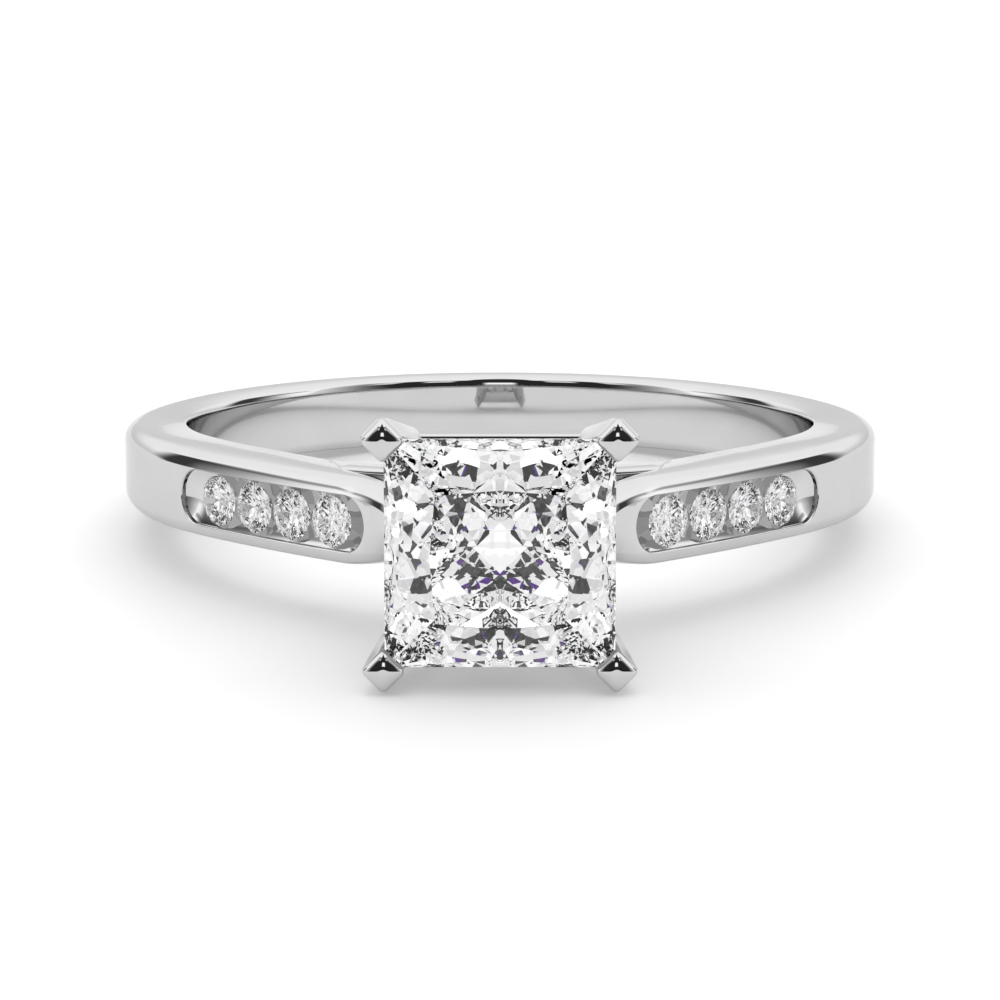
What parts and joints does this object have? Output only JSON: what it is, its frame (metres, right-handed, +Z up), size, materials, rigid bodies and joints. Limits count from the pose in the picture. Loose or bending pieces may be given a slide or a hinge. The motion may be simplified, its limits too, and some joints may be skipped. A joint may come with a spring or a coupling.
{
  "type": "channel-set engagement ring",
  "caption": "Polished ring lying on its side: a square faceted stone in a four-claw basket, with round stones set in a channel along each shoulder.",
  "frame": {"origin": "centre of the finger hole, on its axis, at the middle of the band's width", "axes": "+Z up from the surface the ring lies on, 5.4 degrees from the finger hole's axis; -Y level from the finger towards the centre stone; +X to the right with the centre stone facing the viewer"},
  "size_m": [0.0212, 0.0267, 0.0068],
  "materials": {
    "white_gold": "high polish",
    "diamond": "clear and faceted"
  },
  "bodies": {
    "root": {"ring_mounting": "white_gold", "center_stone": "diamond", "left_side_stone_1": "diamond", "left_side_stone_2": "diamond", "left_side_stone_3": "diamond", "left_side_stone_4": "diamond", "right_side_stone_1": "diamond", "right_side_stone_2": "diamond", "right_side_stone_3": "diamond", "right_side_stone_4": "diamond"}
  },
  "joints": []
}
